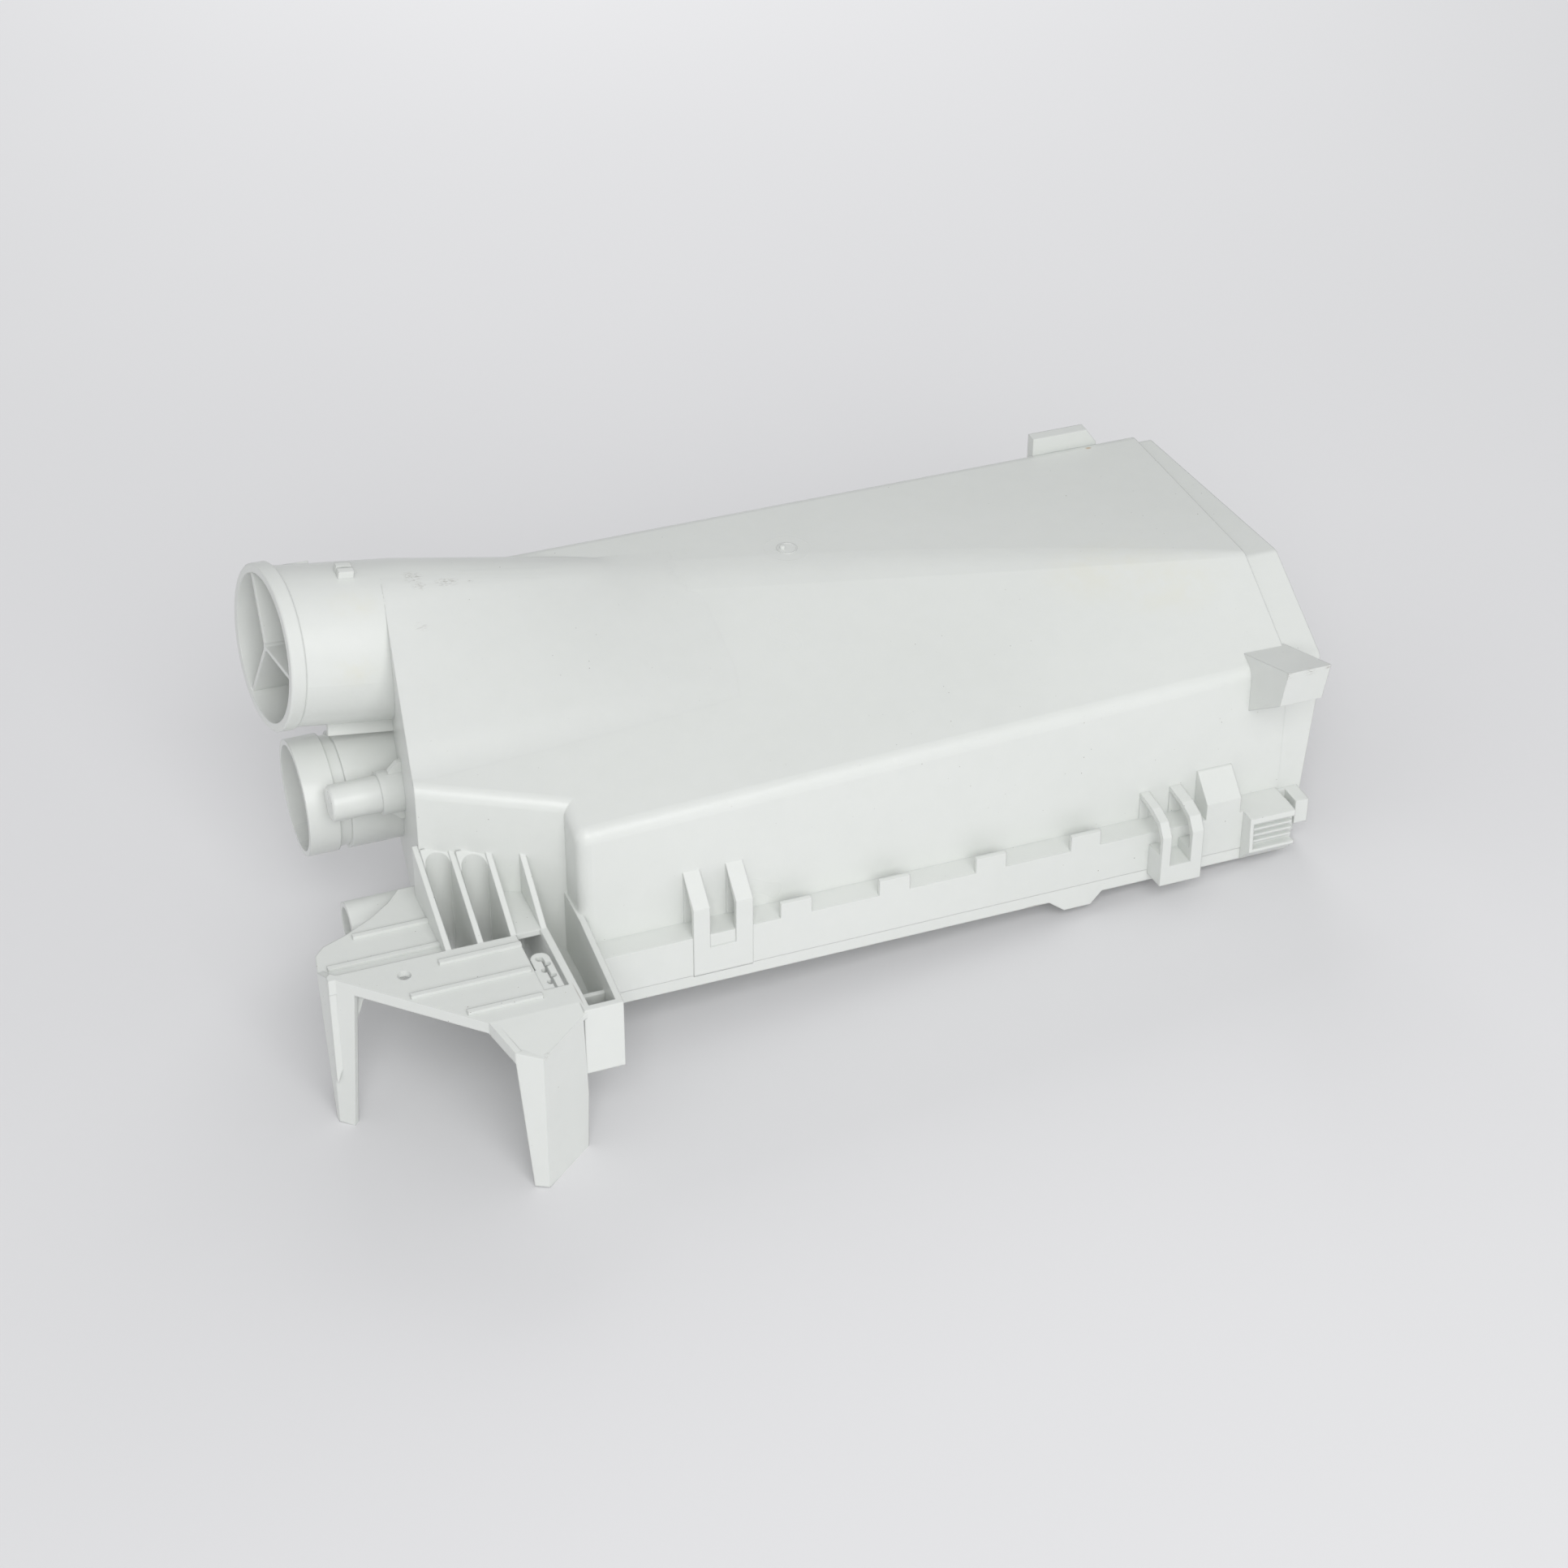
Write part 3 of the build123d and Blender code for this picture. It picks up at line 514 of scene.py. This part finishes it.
# %% [markdown]
# ## The web between the outlet tube and the sloping panel
#
# The sloping panel doesn't stop at the outlet tube: it rises towards it and leaves the tube
# along a tangent, like cloth pulled tight over a pipe. A bevel on the joint would need tube and
# panel in one clean mesh, and its roll would have the same width all along, while the real
# web is wide at the end wall and runs out where the tube sinks into the top.
#
# So a grid is laid over the joint and dropped onto the housing with Shrinkwrap. Then it is
# pulled tight: again and again each point moves to the mean height of its neighbours, but never
# below the housing. What comes out touches the tube without a crease.

# %% A grid dropped onto the joint
WEB_NEAR_Y, WEB_FAR_Y = 50.0, 136.0
WEB_RIGHT_X = 66.0
WEB_COLUMNS, WEB_ROWS = 46, 32
DROP_FROM_Z = 130.0
END_WALL_X, END_WALL_SKEW = -63.65, 0.15


def end_wall_x(y):
    """X of the end wall, which is skewed in plan, in flange millimetres."""
    return END_WALL_X + END_WALL_SKEW * (y - WEB_NEAR_Y)


def drop_onto_housing(piece, group="", sink=0.0):
    """Drops the piece's points, or a group of them, straight down onto the housing."""
    wrap = piece.modifiers.new("drop", "SHRINKWRAP")
    wrap.target = housing
    wrap.wrap_method = "PROJECT"
    wrap.use_project_z = True
    wrap.use_negative_direction = True
    wrap.use_positive_direction = False
    wrap.vertex_group = group
    wrap.offset = -sink
    bpy.ops.object.modifier_apply(modifier=wrap.name)


fresh()
bpy.ops.mesh.primitive_grid_add(x_subdivisions=WEB_COLUMNS, y_subdivisions=WEB_ROWS, size=2.0)
web = bpy.context.object
for vertex in web.data.vertices:
    y = WEB_NEAR_Y + (WEB_FAR_Y - WEB_NEAR_Y) * (vertex.co.y + 1) / 2
    left_x = end_wall_x(y)
    vertex.co = at(left_x + (WEB_RIGHT_X - left_x) * (vertex.co.x + 1) / 2, y, DROP_FROM_Z)
drop_onto_housing(web)
print("web grid lies between", round(min(v.co.z for v in web.data.vertices), 4), "and",
      round(max(v.co.z for v in web.data.vertices), 4))

# %% Pull the sheet tight over the tube
PULL_ROUNDS = 260
PULL = 1.6      # above 1 it overshoots a little, which settles in fewer rounds
points = web.data.vertices
resting = [point.co.z for point in points]
neighbours = [[] for _ in points]
for edge in web.data.edges:
    first, second = edge.vertices
    neighbours[first].append(second)
    neighbours[second].append(first)


def in_flange(point):
    """The point's place in flange millimetres."""
    return (point - FLANGE_CORNER) * 1000


def border_distance(point):
    """How far the point lies from the web's near, far and right borders, in millimetres."""
    place = in_flange(point)
    return min(place.y - WEB_NEAR_Y, WEB_FAR_Y - place.y, WEB_RIGHT_X - place.x)


loose = [index for index, point in enumerate(points) if border_distance(point.co) > 0.01]
height = list(resting)
for _ in range(PULL_ROUNDS):
    for index in loose:
        mean = sum(height[other] for other in neighbours[index]) / len(neighbours[index])
        pulled = height[index] + PULL * (mean - height[index])
        height[index] = max(pulled, resting[index])
rise = max(pulled - rest for pulled, rest in zip(height, resting))
print("the tight sheet stands up to", round(1000 * rise, 2), "mm proud")

# %% [markdown]
# At its near border the tight sheet would leave the panel at a small angle, which would show
# as a line. Its rise is therefore eased in over the first 16 mm. Then the sheet is subdivided
# and lifted by less than a tenth of a millimetre. The lift fades towards its borders, where
# the sheet sinks just under the housing's skin, so no edge shows.

# %% Ease, subdivide and lift the web
WEB_EASE = 16.0         # millimetres
WEB_LIFT = 0.00008
WEB_SINK_SHARE = 0.5    # how far the borders sink, as a share of the lift
WEB_FADE = 14.0         # millimetres

for index, point in enumerate(points):
    share = min(1.0, max(0.0, (in_flange(point.co).y - WEB_NEAR_Y) / WEB_EASE))
    eased = share * share * (3 - 2 * share)
    point.co.z = resting[index] + (height[index] - resting[index]) * eased
rise = max(point.co.z - rest for point, rest in zip(points, resting))
print("the eased web stands up to", round(1000 * rise, 2), "mm proud")
finer = web.modifiers.new("finer", "SUBSURF")
finer.levels = finer.render_levels = 1
bpy.ops.object.modifier_apply(modifier=finer.name)
for point in web.data.vertices:
    share = min(1.0, max(0.0, border_distance(point.co)) / WEB_FADE)
    point.co.z += WEB_LIFT * ((1 + WEB_SINK_SHARE) * share - WEB_SINK_SHARE)

# %% [markdown]
# At the end wall the sheet has to be closed down to the wall's top edge. Its left border is
# extruded, and the new points, kept in a group called hem, are raised and then dropped onto
# the housing. A point that started at the sheet's sunken corner would be under the skin
# already, and would fall through the housing. The hem is then set a tenth of a millimetre
# outside the wall. Solidify gives the sheet its thickness on the underside, so its top stays
# where it is.

# %% Hem and thickness
BORDER_REACH = 0.3      # points this near to the end wall are the border, in millimetres
HEM_REACH = 0.5         # and these are the border and its hem
HEM_OUT = 0.10
HEM_RAISE = 0.002
HEM_SINK = 0.0010
WEB_THICK = 0.0006

clear_mesh(web)
for edge in web.data.edges:
    places = [in_flange(web.data.vertices[index].co) for index in edge.vertices]
    edge.select = all(place.x - end_wall_x(place.y) < BORDER_REACH for place in places)
bpy.ops.object.mode_set(mode="EDIT")
bpy.ops.mesh.select_mode(type="EDGE")
bpy.ops.mesh.extrude_edges_move(TRANSFORM_OT_translate={"value": (0, 0, -0.00001)})
bpy.ops.object.mode_set(mode="OBJECT")
hem = web.vertex_groups.new(name="hem")
hem_points = [vertex for vertex in web.data.vertices if vertex.select]
hem.add([vertex.index for vertex in hem_points], 1.0, "REPLACE")
for vertex in hem_points:
    vertex.co.z += HEM_RAISE
drop_onto_housing(web, group="hem", sink=HEM_SINK)
for vertex in web.data.vertices:
    place = in_flange(vertex.co)
    if place.x - end_wall_x(place.y) < HEM_REACH:
        vertex.co.x = at(end_wall_x(place.y) - HEM_OUT, 0, 0).x
lowest = min(in_flange(vertex.co).z for vertex in web.data.vertices)
print("the web's lowest point is", round(lowest, 1), "mm above the flange's lower edge")
thick = web.modifiers.new("thick", "SOLIDIFY")
thick.thickness = WEB_THICK
thick.offset = -1.0
bpy.ops.object.modifier_apply(modifier=thick.name)
finish_piece(web, "outlet_web", housing_plastic)

# %% [markdown]
# ## The floor
#
# The housing rests on three points: the feet of the bracket's two legs and the far end of the
# cover under the drawer mouth. The feet are lower than the cover, so seen from the housing
# the floor is tipped by about four and a half degrees. The floor here is one big sheet
# through those three points, so that the contact shadows fall where they should.

# %% Floor through the three feet
FLOOR_SIZE = 12.0
FLOOR_GAP = 0.0002
FEET = (at(-109.5, 9.8, -32.0), at(-50.4, -55.4, -28.0), at(275.5, 150.6, 0.0))
up = (FEET[1] - FEET[0]).cross(FEET[2] - FEET[0]).normalized()
floor_middle = (FEET[0] + FEET[1] + FEET[2]) / 3
print("floor is tipped by", round(math.degrees(up.angle(Vector((0, 0, 1)))), 2), "degrees")

fresh()
bpy.ops.mesh.primitive_plane_add(size=FLOOR_SIZE, location=floor_middle - up * FLOOR_GAP)
floor = bpy.context.object
floor.name = "paper_floor"
floor.rotation_mode = "QUATERNION"
floor.rotation_quaternion = up.to_track_quat("Z", "Y")

# %% [markdown]
# The floor is pale paper. It is nearly flat in colour, a little bluer than the plastic, and a
# wide noise gives it a faint mottle, so that no area of it is dead even.

# %% Pale paper
PAPER_LIGHT = (0.784, 0.781, 0.791)
PAPER_DARK = (0.756, 0.753, 0.765)

paper = bpy.data.materials.new("pale_paper")
paper.use_nodes = True
paper_tree = paper.node_tree
paper_shader = paper_tree.nodes["Principled BSDF"]
paper_noise = add_node(paper_tree, "ShaderNodeTexNoise", scale=2.5, detail=3.0)
paper_place = paper_tree.nodes.new("ShaderNodeTexCoord").outputs["Object"]
paper_tree.links.new(paper_place, paper_noise.inputs["Vector"])
paper_colour = tint_over(paper_tree, PAPER_LIGHT, PAPER_DARK, paper_noise.outputs["Fac"])
paper_tree.links.new(paper_colour, paper_shader.inputs["Base Color"])
paper_shader.inputs["Roughness"].default_value = 0.85
paper_shader.inputs["Specular IOR Level"].default_value = 0.15
floor.data.materials.append(paper)
print(paper.name, "has", len(paper_tree.nodes), "nodes")

# %% [markdown]
# ## Light
#
# White plastic on white paper shows its form only through soft shade. Half of the light is a
# bright room all round. The other half is one large window in front, a little to the left
# and less than 40 degrees up, so the faces that look at the camera are the brightest, the flat
# tops a tenth darker, and all of it falls off a little to the right. A lamp straight above
# would turn that round and make the tops glare. The paper behind the housing needs more light
# than the housing does, and a lamp there would draw a bright rim along the tube. So that lamp
# is linked to the paper alone: Cycles then leaves the housing out of its light.
#
# Blender's usual view transform, AgX, presses whites together to save highlights. Here almost
# everything is white and nothing is brighter than paper, so the plain Standard transform shows
# the small steps between one white and the next much better.

# %% Lamps
WINDOW_PLACE, WINDOW_SIZE, WINDOW_WATTS = (-0.30, -1.55, 1.25), 1.3, 21.8
BACKDROP_PLACE, BACKDROP_SIZE, BACKDROP_WATTS = (0.30, 1.25, 0.95), 0.8, 5.5
BACKDROP_AIM = (0.25, 0.85, 0.0)
HOUSING_MIDDLE = at(80, 60, 40)


def softbox(name, place, aim, size, power):
    """A square area lamp at a place, turned to a point."""
    data = bpy.data.lights.new(name, "AREA")
    data.shape = "SQUARE"
    data.size = size
    data.energy = power
    lamp = bpy.data.objects.new(name, data)
    bpy.context.scene.collection.objects.link(lamp)
    lamp.location = place
    lamp.rotation_mode = "QUATERNION"
    lamp.rotation_quaternion = (Vector(aim) - Vector(place)).to_track_quat("-Z", "Y")
    print(name, "gives", power, "watts")
    return lamp


softbox("front_window", WINDOW_PLACE, HOUSING_MIDDLE, WINDOW_SIZE, WINDOW_WATTS)
backdrop_lamp = softbox("backdrop_lamp", BACKDROP_PLACE, BACKDROP_AIM, BACKDROP_SIZE,
                        BACKDROP_WATTS)
paper_only = bpy.data.collections.new("lit_by_backdrop_lamp")
paper_only.objects.link(floor)
backdrop_lamp.light_linking.receiver_collection = paper_only

# %% Room and view transform
ROOM_COLOUR = (0.98, 0.99, 1.0, 1.0)
ROOM_STRENGTH = 0.535

room = bpy.context.scene.world or bpy.data.worlds.new("bright_room")
bpy.context.scene.world = room
room.use_nodes = True
background = room.node_tree.nodes["Background"]
background.inputs["Color"].default_value = ROOM_COLOUR
background.inputs["Strength"].default_value = ROOM_STRENGTH
bpy.context.scene.view_settings.view_transform = "Standard"
print("room light has strength", ROOM_STRENGTH)

# %% [markdown]
# ## Camera
#
# The camera stands a good metre away, looks down at 35 degrees, and sees the housing from
# its flange side, a little from the left. The lens is long for such a small object, so the
# far edges shrink only a little.

# %% Camera
EYE = at(-285.67, -893.91, 754.04)
TURN = math.radians(21.066)
DOWNWARD = math.radians(35.055)
ROLL = math.radians(0.174)
LENS = 75.65

eye = bpy.data.cameras.new("eye")
eye.lens = LENS
eye.sensor_width = 36.0
eye.clip_start = 0.05
eye.clip_end = 50.0
camera = bpy.data.objects.new("eye", eye)
bpy.context.scene.collection.objects.link(camera)
camera.location = EYE
look = (Matrix.Rotation(-TURN, 3, "Z") @ Matrix.Rotation(math.pi / 2 - DOWNWARD, 3, "X")
        @ Matrix.Rotation(ROLL, 3, "Z"))
camera.rotation_euler = look.to_euler()
bpy.context.scene.camera = camera
print("camera is", round((EYE - HOUSING_MIDDLE).length, 3), "metres from the housing")
